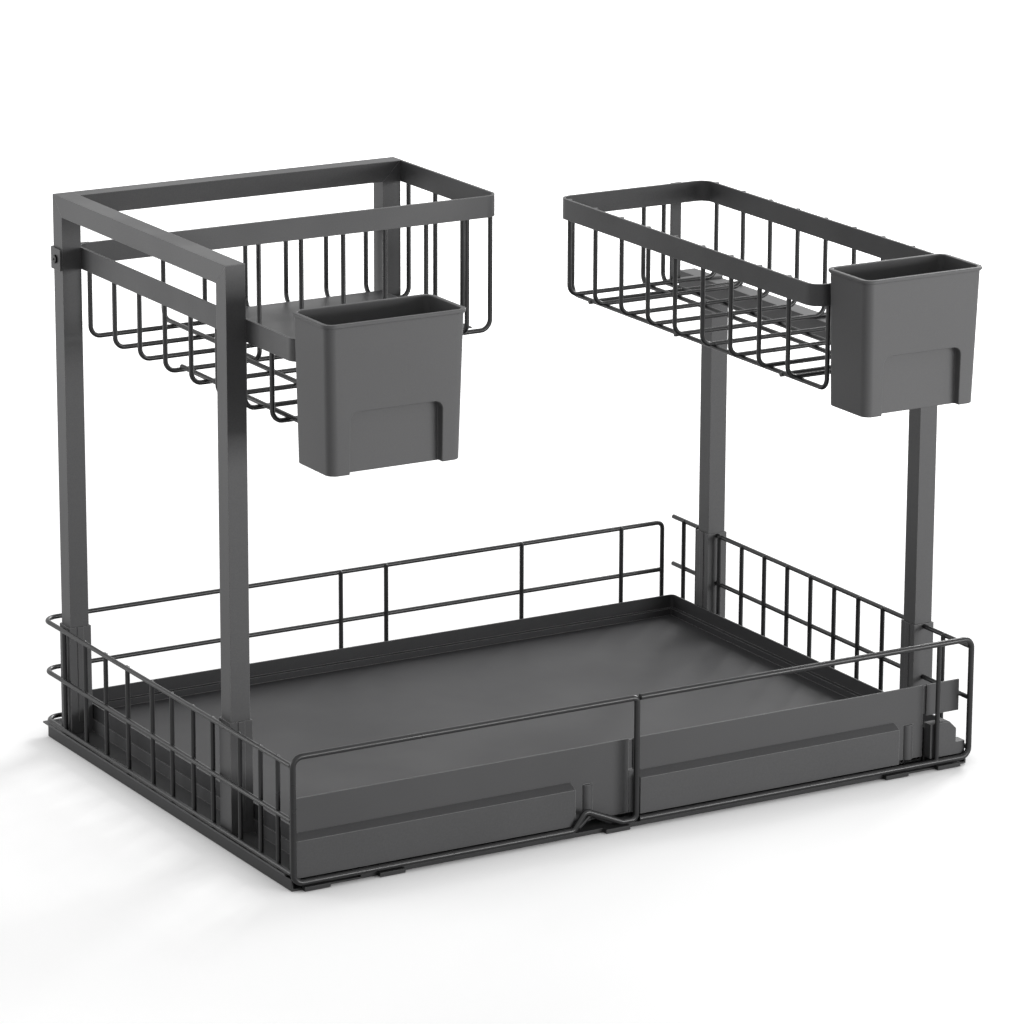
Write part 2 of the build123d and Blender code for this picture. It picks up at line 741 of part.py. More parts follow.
# Left frame: the top tube along the side, mitred at both ends
side_tube_y0 = front_left_post_y - tube / 2
with BuildPart() as left_top_tube:
    with BuildSketch(side_plane(left_post_face)):
        with BuildLine():
            Polyline(
                (side_tube_y0, frame_height), (frame_back_y, frame_height),
                (frame_back_y - tube, frame_height - tube),
                (side_tube_y0 + tube, frame_height - tube), close=True,
            )
        make_face()
    extrude(amount=-tube)
    block(
        (left_post_x - hollow / 2, side_tube_y0, frame_height - tube + tube_wall),
        (left_post_x + hollow / 2, frame_back_y, frame_height - tube_wall),
        Mode.SUBTRACT,
    )
left_top_tube.part.label = "left_top_tube"
export_step(left_top_tube.part, "parts/left_top_tube.step")

# The rear top tube runs from the side tube to the hanging post
hanger_x = left_x + hanger_reach
hanger_face = hanger_x + tube / 2
with BuildPart() as rear_top_tube:
    with BuildSketch(profile_plane(frame_back_y)):
        with BuildLine():
            Polyline(
                (left_post_face, frame_height), (hanger_face, frame_height),
                (hanger_face - tube, frame_height - tube), (left_post_face, frame_height - tube),
                close=True,
            )
        make_face()
    extrude(amount=tube)
    block(
        (left_post_face, rear_left_post_y - hollow / 2, frame_height - tube + tube_wall),
        (hanger_face, rear_left_post_y + hollow / 2, frame_height - tube_wall),
        Mode.SUBTRACT,
    )
rear_top_tube.part.label = "rear_top_tube"
export_step(rear_top_tube.part, "parts/rear_top_tube.step")

# The hanging post carries the far corner of the basket
low_z = left_rim_top - left_basket_deep
hanger_bottom = low_z - wire_r
with BuildPart() as hanging_post:
    with BuildSketch(profile_plane(frame_back_y)):
        with BuildLine():
            Polyline(
                (hanger_face, frame_height), (hanger_face, hanger_bottom),
                (hanger_face - tube, hanger_bottom), (hanger_face - tube, frame_height - tube),
                close=True,
            )
        make_face()
    extrude(amount=tube)
    block(
        (hanger_x - hollow / 2, rear_left_post_y - hollow / 2, hanger_bottom),
        (hanger_x + hollow / 2, rear_left_post_y + hollow / 2, frame_height),
        Mode.SUBTRACT,
    )
hanging_post.part.label = "hanging_post"
export_step(hanging_post.part, "parts/hanging_post.step")

plug = hollow - 2 * contact
with BuildPart() as hanging_post_cap:
    with BuildSketch(Plane.XY.offset(hanger_bottom - cap_thick)):
        with Locations((hanger_x, rear_left_post_y)):
            Rectangle(tube, tube)
    extrude(amount=cap_thick)
    with BuildSketch(Plane.XY.offset(hanger_bottom)):
        with Locations((hanger_x, rear_left_post_y)):
            Rectangle(plug, plug)
    extrude(amount=cap_plug)
hanging_post_cap.part.label = "hanging_post_cap"
export_step(hanging_post_cap.part, "parts/hanging_post_cap.step")

# Guard band round the rear basket, level with the top of the frame
rim_face_y = front_y + left_rim_front
last_y = back_y - cross_wire_back
cross_count = rear_cross_count + front_cross_count
cross_pitch = (last_y - rim_face_y - cross_wire_front) / (cross_count - 1)
rear_cross_y = [last_y - i * cross_pitch for i in range(rear_cross_count)]
guard_x = hanger_face + contact + band / 2
guard_y = rear_cross_y[-1] - guard_gap + band / 2
guard_band = bent_band(
    ((left_post_face + contact, guard_y), (guard_x, guard_y), (guard_x, frame_back_y)),
    [band_corner_r], frame_height,
)
guard_band.label = "guard_band"
export_step(guard_band, "parts/guard_band.step")

# Rim of the left basket: along the front, the posts and the back
rim_x = left_post_face + contact + band / 2
rim_front_y = rim_face_y + band / 2
rim_back_y = frame_back_y - band / 2
edge_wire_x = rim_x + left_arm_width
with BuildPart() as left_basket_rim:
    add(bent_band(
        (
            (edge_wire_x, rim_front_y), (rim_x, rim_front_y), (rim_x, rim_back_y),
            (hanger_face - tube - contact, rim_back_y),
        ),
        [band_corner_r, band_corner_r], left_rim_top,
    ))
    with Locations(Plane(origin=(rim_x + band / 2, rim_screw_y, rim_screw_z), z_dir=(1, 0, 0))):
        Hole(radius=screw_r + contact, depth=2 * band)
left_basket_rim.part.label = "left_basket_rim"
export_step(left_basket_rim.part, "parts/left_basket_rim.step")

# Strap round the back of the rear left post, which holds the rim there
strap_x = left_post_face - tube - contact - band / 2
strap_y = frame_back_y + contact + band / 2
with BuildPart() as post_strap:
    add(bent_band(
        (
            (left_post_face + strap_lap, strap_y), (strap_x, strap_y),
            (strap_x, rear_left_post_y - tube / 2),
        ),
        [band / 2 + contact], left_rim_top,
    ))
    with Locations(
        Plane(origin=(strap_x - band / 2, rear_left_post_y, rim_screw_z), z_dir=(-1, 0, 0))
    ):
        Hole(radius=screw_r + contact, depth=2 * band)
post_strap.part.label = "post_strap"
export_step(post_strap.part, "parts/post_strap.step")

# Screws that hold the posts in their sockets
with BuildPart() as socket_screws:
    for name, x, y in post_places:
        screw_plane = Plane(origin=(x, y + socket / 2, socket_screw_height), z_dir=(0, 1, 0))
        with BuildSketch(screw_plane):
            Circle(screw_head_r)
        extrude(amount=screw_head)
        with BuildSketch(screw_plane):
            Circle(screw_r)
        extrude(amount=-(socket_wall + tube_wall + contact + screw_end_run))
socket_screws.part.label = "socket_screws"
export_step(socket_screws.part, "parts/socket_screws.step")

# Screws that hold the rim and its strap to the left posts
with BuildPart() as rim_screws:
    for screw_plane in (
        Plane(origin=(rim_x + band / 2, rim_screw_y, rim_screw_z), z_dir=(1, 0, 0)),
        Plane(origin=(strap_x - band / 2, rear_left_post_y, rim_screw_z), z_dir=(-1, 0, 0)),
    ):
        with BuildSketch(screw_plane):
            Circle(screw_head_r)
        extrude(amount=screw_head)
        with BuildSketch(screw_plane):
            Circle(screw_r)
        extrude(amount=-(band + contact + tube_wall + screw_end_run))
rim_screws.part.label = "rim_screws"
export_step(rim_screws.part, "parts/rim_screws.step")

# Left basket, front arm: wires bent down from the rim, welded to wires along the arm
beside = band / 2 + contact + wire_r     # from the middle of a band to a wire beside it
high_z = low_z + 2 * wire_r - weld       # wires that lie across the lower ones
hang_z = left_rim_top - band_height / 2
guard_z = frame_height - band_height / 2
side_wire_x = rim_x + beside
long_end_y = rear_cross_y[-1] - wire_r - contact
with BuildPart() as left_basket_wires:
    for i in range(front_cross_count):
        y = rear_cross_y[-1] - (i + 1) * cross_pitch
        add(bent_wire(
            ((side_wire_x, y, hang_z), (side_wire_x, y, low_z), (edge_wire_x + weld, y, low_z)),
            [wire_bend_r], wire_r,
        ))
    for share in long_wire_shares:
        x = rim_x + share * left_arm_width
        y = rim_front_y + beside
        add(bent_wire(
            ((x, y, hang_z), (x, y, high_z), (x, long_end_y, high_z)), [wire_bend_r], wire_r,
        ))
left_basket_wires.part.label = "left_basket_wires"
export_step(left_basket_wires.part, "parts/left_basket_wires.step")

# Left basket, rear arm: wires between the rim and the guard band, both ways
end_wire_x = guard_x + beside            # outside the band there, inside it elsewhere
rear_first_x = left_x + rear_wire_first
rear_pitch = (hanger_x - rear_wire_last - rear_first_x) / (rear_wire_count - 1)
with BuildPart() as rear_basket_wires:
    for y in rear_cross_y:
        add(bent_wire(
            (
                (side_wire_x, y, hang_z), (side_wire_x, y, low_z),
                (end_wire_x, y, low_z), (end_wire_x, y, guard_z),
            ),
            [wire_bend_r, wire_bend_r], wire_r,
        ))
    for i in range(rear_wire_count):
        x = rear_first_x + i * rear_pitch
        add(bent_wire(
            (
                (x, guard_y + beside, guard_z), (x, guard_y + beside, high_z),
                (x, rim_back_y - beside, high_z), (x, rim_back_y - beside, hang_z),
            ),
            [wire_bend_r, wire_bend_r], wire_r,
        ))
rear_basket_wires.part.label = "rear_basket_wires"
export_step(rear_basket_wires.part, "parts/rear_basket_wires.step")

# Floor plate that lies on the wires of the rear arm
plate_z = high_z + wire_r + contact
with BuildPart() as floor_plate:
    block(
        (left_x + plate_start, guard_y + beside + wire_bend_r, plate_z),
        (hanger_face - tube - contact, rim_back_y - beside - wire_bend_r, plate_z + plate_thick),
    )
floor_plate.part.label = "floor_plate"
export_step(floor_plate.part, "parts/floor_plate.step")

# Right tube on top of the right posts, with a cap in each end
tube_y0 = front_y + right_tube_front
tube_y1 = back_y - right_tube_inset
tube_middle_z = right_tube_top - tube / 2
with BuildPart() as right_top_tube:
    with BuildSketch(profile_plane(tube_y1)):
        with Locations((right_x, tube_middle_z)):
            Rectangle(tube, tube)
            Rectangle(hollow, hollow, mode=Mode.SUBTRACT)
    extrude(amount=tube_y1 - tube_y0)
right_top_tube.part.label = "right_top_tube"
export_step(right_top_tube.part, "parts/right_top_tube.step")

with BuildPart() as right_tube_caps:
    for y, way in ((tube_y0, 1), (tube_y1, -1)):
        with BuildSketch(profile_plane(y)):
            with Locations((right_x, tube_middle_z)):
                Rectangle(tube, tube)
        extrude(amount=way * cap_thick)
        with BuildSketch(profile_plane(y)):
            with Locations((right_x, tube_middle_z)):
                Rectangle(plug, plug)
        extrude(amount=-way * cap_plug)
right_tube_caps.part.label = "right_tube_caps"
export_step(right_tube_caps.part, "parts/right_tube_caps.step")

# Right basket: a closed rim; wires are welded inside it at the left and front, outside it at
# the right and back
ring_y0 = front_y + right_rim_front
ring_y1 = back_y - right_rim_inset
ring_depth = ring_y1 - ring_y0
with BuildPart() as right_basket_rim:
    with BuildSketch(Plane.XY.offset(right_rim_top - band_height)):
        with Locations(((ring_x0 + ring_x1) / 2, (ring_y0 + ring_y1) / 2)):
            RectangleRounded(right_basket_width, ring_depth, band_corner_r)
            RectangleRounded(
                right_basket_width - 2 * band, ring_depth - 2 * band, band_corner_r - band,
                mode=Mode.SUBTRACT,
            )
    extrude(amount=band_height)
right_basket_rim.part.label = "right_basket_rim"
export_step(right_basket_rim.part, "parts/right_basket_rim.step")

inside = band + contact + wire_r         # from the outside of the rim to a wire inside it
outside = contact + wire_r               # and to a wire outside it
runner_z = right_tube_top + contact + wire_r
right_long_z = runner_z + weld
right_floor_z = right_long_z + 2 * wire_r - weld
right_hang_z = right_rim_top - band_height / 2
right_pitch = (ring_depth - right_wire_first - right_wire_last) / (right_wire_count - 1)
right_long_x = [ring_x0 + share * right_basket_width for share in right_long_shares]
with BuildPart() as right_basket_wires:
    for i in range(right_wire_count):
        y = ring_y0 + right_wire_first + i * right_pitch
        tip_z = right_rim_top - wire_tip
        add(bent_wire(
            (
                (ring_x0 + inside, y, tip_z), (ring_x0 + inside, y, right_floor_z),
                (ring_x1 + outside, y, right_floor_z), (ring_x1 + outside, y, tip_z),
            ),
            [wire_bend_r, wire_bend_r], wire_r,
        ))
    for x in right_long_x:
        add(bent_wire(
            (
                (x, ring_y0 + inside, right_hang_z), (x, ring_y0 + inside, right_long_z),
                (x, ring_y1 + outside, right_long_z), (x, ring_y1 + outside, right_hang_z),
            ),
            [wire_bend_r, wire_bend_r], wire_r,
        ))
    runner_x0 = right_long_x[0] - wire_r - weld
    for share in runner_wire_shares:
        y = front_y + share * fence_depth
        add(bent_wire(((runner_x0, y, runner_z), (right_x + tube / 2, y, runner_z)), None, wire_r))
right_basket_wires.part.label = "right_basket_wires"
export_step(right_basket_wires.part, "parts/right_basket_wires.step")

# Strap from the back of the right rim down to the tube
back_strap_x0 = ring_x1 - back_strap_inset
back_strap_y = ring_y1 + contact
back_strap_z = right_tube_top + contact
with BuildPart() as back_strap:
    block(
        (back_strap_x0, back_strap_y, back_strap_z),
        (back_strap_x0 + back_strap_width, back_strap_y + band, right_rim_top),
    )
    block(
        (back_strap_x0, back_strap_y, back_strap_z),
        (right_x + tube / 2, back_strap_y + back_strap_foot, back_strap_z + band),
    )
back_strap.part.label = "back_strap"
export_step(back_strap.part, "parts/back_strap.step")

# Cups: tapered shells with a lip, a shallow recess low on the front, and two hooks
for name, left_side, width, depth, height, top, band_y, band_top, hooks in (
    ("left_cup", left_x + left_cup_left, left_cup_width, left_cup_depth, left_cup_height,
     left_rim_top + left_cup_rise, rim_face_y, left_rim_top, left_hook_places),
    ("right_cup", ring_x0 + right_cup_offset, right_cup_width, right_cup_depth, right_cup_height,
     right_rim_top + right_cup_rise, ring_y0, right_rim_top, right_hook_places),
):
    middle_x = left_side + width / 2
    rear_y = band_y - cup_gap
    bottom = top - height
    low_depth = depth - cup_taper
    low_front_y = rear_y - low_depth
    high_middle = (middle_x, rear_y - depth / 2)
    low_middle = (middle_x, rear_y - low_depth / 2)
    low_width = width - 2 * cup_taper
    recess_width = width * (1 - 2 * recess_share)
    recess_back_y = low_front_y + recess_deep
    inner_r = cup_corner_r - cup_wall
    with BuildPart() as cup:
        with BuildSketch(Plane.XY.offset(bottom)):
            with Locations(low_middle):
                RectangleRounded(low_width, low_depth, cup_corner_r)
        with BuildSketch(Plane.XY.offset(top)):
            with Locations(high_middle):
                RectangleRounded(width, depth, cup_corner_r)
        loft()
        with BuildSketch(Plane.XY.offset(top - cup_lip_height)):
            with Locations(high_middle):
                RectangleRounded(width + 2 * cup_lip, depth + 2 * cup_lip, cup_corner_r + cup_lip)
        extrude(amount=cup_lip_height)
        with BuildSketch(Plane.XY.offset(bottom + cup_wall)):
            with Locations(low_middle):
                RectangleRounded(low_width - 2 * cup_wall, low_depth - 2 * cup_wall, inner_r)
        with BuildSketch(Plane.XY.offset(top)):
            with Locations(high_middle):
                RectangleRounded(width - 2 * cup_wall, depth - 2 * cup_wall, inner_r)
        loft(mode=Mode.SUBTRACT)
        block(
            (middle_x - recess_width / 2 - cup_wall, low_front_y + cup_wall / 2, bottom),
            (middle_x + recess_width / 2 + cup_wall, recess_back_y + cup_wall,
             bottom + recess_height + cup_wall),
        )
        with BuildSketch(profile_plane(recess_back_y)):
            with Locations((middle_x, bottom)):
                RectangleRounded(recess_width, 2 * recess_height, recess_r)
        extrude(amount=recess_deep + cup_taper + overrun, mode=Mode.SUBTRACT)
        for place in hooks:
            hook_x = left_side + place
            hook_y = band_y + band + cup_gap
            hook_z = band_top + cup_gap
            block(
                (hook_x - hook_width / 2, rear_y - cup_wall / 2, hook_z),
                (hook_x + hook_width / 2, hook_y + hook_thick, hook_z + hook_thick),
            )
            block(
                (hook_x - hook_width / 2, hook_y, band_top - hook_drop),
                (hook_x + hook_width / 2, hook_y + hook_thick, hook_z + hook_thick),
            )
    cup.part.label = name
    export_step(cup.part, f"parts/{name}.step")
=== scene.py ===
import math

import bpy
from mathutils import Matrix, Vector


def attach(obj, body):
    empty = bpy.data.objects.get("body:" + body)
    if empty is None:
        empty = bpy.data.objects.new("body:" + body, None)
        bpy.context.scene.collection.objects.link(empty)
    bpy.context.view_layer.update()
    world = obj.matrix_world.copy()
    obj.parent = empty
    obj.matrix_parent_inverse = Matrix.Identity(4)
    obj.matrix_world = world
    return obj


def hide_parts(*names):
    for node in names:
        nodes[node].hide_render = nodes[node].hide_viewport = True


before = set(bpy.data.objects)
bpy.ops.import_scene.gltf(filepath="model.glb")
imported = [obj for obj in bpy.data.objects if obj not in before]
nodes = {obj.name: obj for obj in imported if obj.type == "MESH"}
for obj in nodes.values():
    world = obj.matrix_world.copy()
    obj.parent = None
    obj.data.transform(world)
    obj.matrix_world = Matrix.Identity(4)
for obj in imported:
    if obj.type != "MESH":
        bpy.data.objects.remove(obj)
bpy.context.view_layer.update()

# Camera: it stands in front of the left corner, a little above the tray, with a long lens.
# The place, the turn and the lens were solved from the corners of the tubes and the tray.
turn, tilt, roll = (math.radians(angle) for angle in (30.296, 15.465, 0.227))
camera_place = (-1.7222, -2.9603, 1.1318)
ahead = Vector((math.sin(turn) * math.cos(tilt), math.cos(turn) * math.cos(tilt), -math.sin(tilt)))
level = Vector((math.cos(turn), -math.sin(turn), 0))
above = level.cross(ahead)
side = level * math.cos(roll) + above * math.sin(roll)
upper = above * math.cos(roll) - level * math.sin(roll)
camera = bpy.data.objects.new("camera", bpy.data.cameras.new("camera"))
bpy.context.scene.collection.objects.link(camera)
camera.matrix_world = Matrix.Translation(camera_place) @ Matrix(
    (side, upper, -ahead)
).transposed().to_4x4()
camera.data.sensor_width = 36
camera.data.lens = 168.81
camera.data.clip_end = 60
bpy.context.scene.camera = camera

# Studio floor: pale paper that runs out to white, lit softly. Where the camera or a mirroring
# piece looks at it, it also glows: less near the object, so the shadow shows, and hardly at all
# where a piece lies close over it, which is a painted contact shadow. Sizes are in metres.


def place_node(tree, kind, label, fixed=(), **settings):
    """A node with a name, its plain settings, and the inputs that keep one value."""
    made = tree.nodes.new(kind)
    made.name = made.label = label
    for key, value in settings.items():
        setattr(made, key, value)
    for key, value in fixed:
        made.inputs[key].default_value = value
    return made


def connect(tree, *pairs):
    """Links each output to the input that stands beside it."""
    for out_socket, in_socket in pairs:
        tree.links.new(out_socket, in_socket)


def looked_at(tree):
    """One where the camera, a mirror or a clear piece looks, and nought for other light."""
    rays = place_node(tree, "ShaderNodeLightPath", "rays")
    direct = place_node(tree, "ShaderNodeMath", "direct", operation="ADD")
    looked = place_node(tree, "ShaderNodeMath", "looked", operation="ADD", use_clamp=True)
    connect(
        tree,
        (rays.outputs["Is Camera Ray"], direct.inputs[0]),
        (rays.outputs["Is Glossy Ray"], direct.inputs[1]),
        (direct.outputs[0], looked.inputs[0]),
        (rays.outputs["Is Transmission Ray"], looked.inputs[1]),
    )
    return looked.outputs[0]


floor_size, floor_drop = 24, 0.0005
bpy.context.scene.view_settings.view_transform = "Standard"
bpy.ops.object.select_all(action="DESELECT")
bpy.ops.mesh.primitive_plane_add(size=floor_size, location=(0, 0, -floor_drop))
floor = bpy.context.active_object
floor.name = "studio_floor"
paper = bpy.data.materials.new("studio_paper")
paper.use_nodes = True
tree = paper.node_tree
matte = tree.nodes["Principled BSDF"]
matte.inputs["Roughness"].default_value = 0.9
matte.inputs["Specular IOR Level"].default_value = 0.0
looked = looked_at(tree)
pale = place_node(tree, "ShaderNodeMapRange", "pale", (("To Min", 0.3), ("To Max", 0.85)))
where = place_node(tree, "ShaderNodeTexCoord", "where")
away = place_node(tree, "ShaderNodeVectorMath", "away", operation="LENGTH")
fading = place_node(tree, "ShaderNodeMapRange", "fading", (
    ("From Min", 0.55), ("From Max", 2.2), ("To Min", 0.54), ("To Max", 1.0),
))
seen = place_node(tree, "ShaderNodeMath", "seen", operation="MULTIPLY")
# The glow dims where a piece lies within 5 cm of the floor: a painted contact shadow.
painted_contact_shadow = place_node(
    tree, "ShaderNodeAmbientOcclusion", "painted contact shadow", (("Distance", 0.05),), samples=8,
)
glow_with_painted_shadow = place_node(tree, "ShaderNodeMath", "glow_with_painted_shadow", operation="MULTIPLY")
glow = place_node(tree, "ShaderNodeEmission", "glow")
both = place_node(tree, "ShaderNodeAddShader", "both")
connect(
    tree,
    (tree.nodes["rays"].outputs["Is Camera Ray"], pale.inputs["Value"]),
    (pale.outputs["Result"], matte.inputs["Base Color"]),
    (where.outputs["Object"], away.inputs[0]),
    (away.outputs["Value"], fading.inputs["Value"]),
    (looked, seen.inputs[0]),
    (fading.outputs["Result"], seen.inputs[1]),
    (seen.outputs[0], glow_with_painted_shadow.inputs[0]),
    (painted_contact_shadow.outputs["AO"], glow_with_painted_shadow.inputs[1]),
    (glow_with_painted_shadow.outputs[0], glow.inputs["Strength"]),
    (matte.outputs["BSDF"], both.inputs[0]),
    (glow.outputs["Emission"], both.inputs[1]),
    (both.outputs["Shader"], tree.nodes["Material Output"].inputs["Surface"]),
)
floor.data.materials.append(paper)

# Studio light: a white room that is seen and mirrored at full strength but lights softly, a
# large box at the back right, a low wide one in front, and a weak one at the left.
world = bpy.data.worlds.new("studio")
world.use_nodes = True
bpy.context.scene.world = world
tree = world.node_tree
room = tree.nodes["Background"]
room.inputs["Color"].default_value = (1, 1, 1, 1)
shown = place_node(tree, "ShaderNodeMapRange", "shown", (("To Min", 0.26), ("To Max", 1.0)))
connect(
    tree,
    (looked_at(tree), shown.inputs["Value"]),
    (shown.outputs["Result"], room.inputs["Strength"]),
)

object_middle = Vector((0, 0, 0.2))
for name, place, wide, high, power in (
    ("soft_box_right", (2.1, 1.2, 1.4), 1.0, 1.0, 48),
    ("soft_box_front", (1.1, -2.1, 0.4), 1.4, 0.5, 30),
    ("soft_box_left", (-1.2, 0.7, 0.35), 0.7, 0.5, 4.5),
):
    lamp = bpy.data.objects.new(name, bpy.data.lights.new(name, "AREA"))
    bpy.context.scene.collection.objects.link(lamp)
    lamp.data.shape = "RECTANGLE"
    lamp.data.size = wide
    lamp.data.size_y = high
    lamp.data.energy = power
    lamp.location = place
    lamp.rotation_euler = (object_middle - Vector(place)).to_track_quat("-Z", "Y").to_euler()

# Base on the cupboard floor: folded rails with the outer channels of the slides, and flat bars.
# Cold-rolled strip, folded and spot-welded, and given a darker colour than the tray's rails.

# The coat on this and the later pieces is dry powder baked on the steel: it flows into a faint
# orange-peel skin and holds specks of other greys; a paler colour along the edges is a painted
# highlight. The rubber and the plastics take the grain and the painted edge from it, with own
# values.
powder_coat = bpy.data.node_groups.new("powder_coat", "ShaderNodeTree")
for name, kind, value in (
    ("Colour", "NodeSocketColor", (0.1, 0.1, 0.1, 1)),
    ("Edge Colour", "NodeSocketColor", (0.16, 0.16, 0.16, 1)),
    ("Speck Size", "NodeSocketFloat", 0.0008),
    ("Patch Size", "NodeSocketFloat", 0.05),
    ("Skin Depth", "NodeSocketFloat", 0.00003),
    ("Edge Radius", "NodeSocketFloat", 0.0006),
    ("Smooth", "NodeSocketFloat", 0.38),
    ("Rough", "NodeSocketFloat", 0.5),
):
    socket = powder_coat.interface.new_socket(name, in_out="INPUT", socket_type=kind)
    socket.default_value = value
for name, kind in (
    ("Colour", "NodeSocketColor"), ("Roughness", "NodeSocketFloat"),
    ("Normal", "NodeSocketVector"),
):
    powder_coat.interface.new_socket(name, in_out="OUTPUT", socket_type=kind)

given = place_node(powder_coat, "NodeGroupInput", "given")
result = place_node(powder_coat, "NodeGroupOutput", "result")
where = place_node(powder_coat, "ShaderNodeTexCoord", "where")
specks_per_metre = place_node(
    powder_coat, "ShaderNodeMath", "specks per metre", ((0, 1.0),), operation="DIVIDE",
)
patches_per_metre = place_node(
    powder_coat, "ShaderNodeMath", "patches per metre", ((0, 1.0),), operation="DIVIDE",
)
specks = place_node(powder_coat, "ShaderNodeTexNoise", "specks", (("Detail", 2.0),))
patches = place_node(powder_coat, "ShaderNodeTexNoise", "patches", (("Detail", 3.0),))
tint = place_node(powder_coat, "ShaderNodeMapRange", "tint", (
    ("From Min", 0.3), ("From Max", 0.7), ("To Min", 0.93), ("To Max", 1.07),
))
spread = place_node(powder_coat, "ShaderNodeMapRange", "spread", (
    ("From Min", 0.3), ("From Max", 0.7), ("To Min", 0.96), ("To Max", 1.04),
))
shade = place_node(powder_coat, "ShaderNodeMath", "shade", operation="MULTIPLY")
toned = place_node(powder_coat, "ShaderNodeVectorMath", "toned", operation="SCALE")
round_edge = place_node(powder_coat, "ShaderNodeBevel", "round edge", samples=4)
flat = place_node(powder_coat, "ShaderNodeNewGeometry", "flat")
bend = place_node(powder_coat, "ShaderNodeVectorMath", "bend", operation="DOT_PRODUCT")
edge = place_node(powder_coat, "ShaderNodeMapRange", "edge", (
    ("From Min", 0.995), ("From Max", 0.9),
))
# Where the rounded normal bends away from the flat one, the edge colour is mixed in: a painted
# highlight.
painted_edge_highlight = place_node(powder_coat, "ShaderNodeMix", "painted_edge_highlight", data_type="RGBA")
gloss = place_node(powder_coat, "ShaderNodeMapRange", "gloss", (
    ("From Min", 0.35), ("From Max", 0.65),
))
skin = place_node(powder_coat, "ShaderNodeBump", "skin", (("Strength", 0.5),))
connect(
    powder_coat,
    (given.outputs["Speck Size"], specks_per_metre.inputs[1]),
    (given.outputs["Patch Size"], patches_per_metre.inputs[1]),
    (where.outputs["Object"], specks.inputs["Vector"]),
    (specks_per_metre.outputs[0], specks.inputs["Scale"]),
    (where.outputs["Object"], patches.inputs["Vector"]),
    (patches_per_metre.outputs[0], patches.inputs["Scale"]),
    (specks.outputs["Fac"], tint.inputs["Value"]),
    (patches.outputs["Fac"], spread.inputs["Value"]),
    (tint.outputs["Result"], shade.inputs[0]),
    (spread.outputs["Result"], shade.inputs[1]),
    (given.outputs["Colour"], toned.inputs[0]),
    (shade.outputs[0], toned.inputs["Scale"]),
    (given.outputs["Edge Radius"], round_edge.inputs["Radius"]),
    (round_edge.outputs["Normal"], bend.inputs[0]),
    (flat.outputs["Normal"], bend.inputs[1]),
    (bend.outputs["Value"], edge.inputs["Value"]),
    (edge.outputs["Result"], painted_edge_highlight.inputs["Factor"]),
    (toned.outputs["Vector"], painted_edge_highlight.inputs[6]),
    (given.outputs["Edge Colour"], painted_edge_highlight.inputs[7]),
    (patches.outputs["Fac"], gloss.inputs["Value"]),
    (given.outputs["Smooth"], gloss.inputs["To Min"]),
    (given.outputs["Rough"], gloss.inputs["To Max"]),
    (specks.outputs["Fac"], skin.inputs["Height"]),
    (given.outputs["Skin Depth"], skin.inputs["Distance"]),
    (round_edge.outputs["Normal"], skin.inputs["Normal"]),
    (painted_edge_highlight.outputs[2], result.inputs["Colour"]),
    (gloss.outputs["Result"], result.inputs["Roughness"]),
    (skin.outputs["Normal"], result.inputs["Normal"]),
)


def coated(name, mirror=0.3, **given_values):
    """A material whose colour, gloss and skin come from the powder coat."""
    material = bpy.data.materials.new(name)
    material.use_nodes = True
    tree = material.node_tree
    shader = tree.nodes["Principled BSDF"]
    shader.inputs["Specular IOR Level"].default_value = mirror
    layer = tree.nodes.new("ShaderNodeGroup")
    layer.node_tree = powder_coat
    for key, value in given_values.items():
        layer.inputs[key.replace("_", " ").title()].default_value = value
    connect(
        tree,
        (layer.outputs["Colour"], shader.inputs["Base Color"]),
        (layer.outputs["Roughness"], shader.inputs["Roughness"]),
        (layer.outputs["Normal"], shader.inputs["Normal"]),
    )
    return material


def dress(material, *names):
    """Gives CAD nodes their material."""
    for name in names:
        for slot in nodes[name].material_slots:
            slot.material = material


base_steel = coated(
    "base_steel", colour=(0.05, 0.05, 0.051, 1), edge_colour=(0.09, 0.09, 0.09, 1), rough=0.52,
)
dress(base_steel, "left_base_rail", "right_base_rail", "front_cross_bar", "rear_cross_bar")

# Slides: the middle members and the runners under the tray are rolled channels.
# They keep a thinner, glossier coat, because the balls have to run along them.
slide_steel = coated(
    "slide_steel", colour=(0.06, 0.06, 0.062, 1), edge_colour=(0.16, 0.16, 0.16, 1),
    skin_depth=0.00001, smooth=0.26, rough=0.36,
)
dress(
    slide_steel, "left_slide_middle", "right_slide_middle", "left_tray_runner",
    "right_tray_runner",
)

# Stops at the rear ends of the rails: moulded rubber blocks, dull and slightly uneven.
# They are pressed between the sides of the channels and catch the tray as it is pushed in.
stop_rubber = coated(
    "stop_rubber", colour=(0.018, 0.018, 0.018, 1), edge_colour=(0.03, 0.03, 0.03, 1),
    speck_size=0.0005, smooth=0.7, rough=0.85,
)
dress(stop_rubber, "left_rear_stop", "right_rear_stop")

# Tray: folded side and rear rails with a pressed pan laid in them, all of thin steel sheet.
# The pan is coated as one flat piece, so its skin is finer and its patches are wider.
sheet_steel = coated(
    "sheet_steel", colour=(0.1, 0.1, 0.102, 1), edge_colour=(0.28, 0.28, 0.28, 1),
)
dress(sheet_steel, "left_side_rail", "right_side_rail", "rear_rail")
pan_steel = coated(
    "pan_steel", colour=(0.05, 0.05, 0.052, 1), edge_colour=(0.26, 0.26, 0.26, 1),
    speck_size=0.0007, patch_size=0.12, skin_depth=0.00002, smooth=0.42, rough=0.55,
)
dress(pan_steel, "tray_pan")

# Front of the tray: two folded panels with a rolled rib, lower channels, and lapped joiners.
# It is the side that shows, so it is coated more evenly, with wider and fainter patches.
front_steel = coated(
    "front_steel", colour=(0.1, 0.1, 0.102, 1), edge_colour=(0.3, 0.3, 0.3, 1),
    patch_size=0.09, smooth=0.4, rough=0.5,
)
dress(
    front_steel, "left_front_panel", "right_front_panel", "front_end_piece",
    "left_lower_channel", "right_lower_channel", "middle_joiner", "end_joiner", "end_bracket",
)
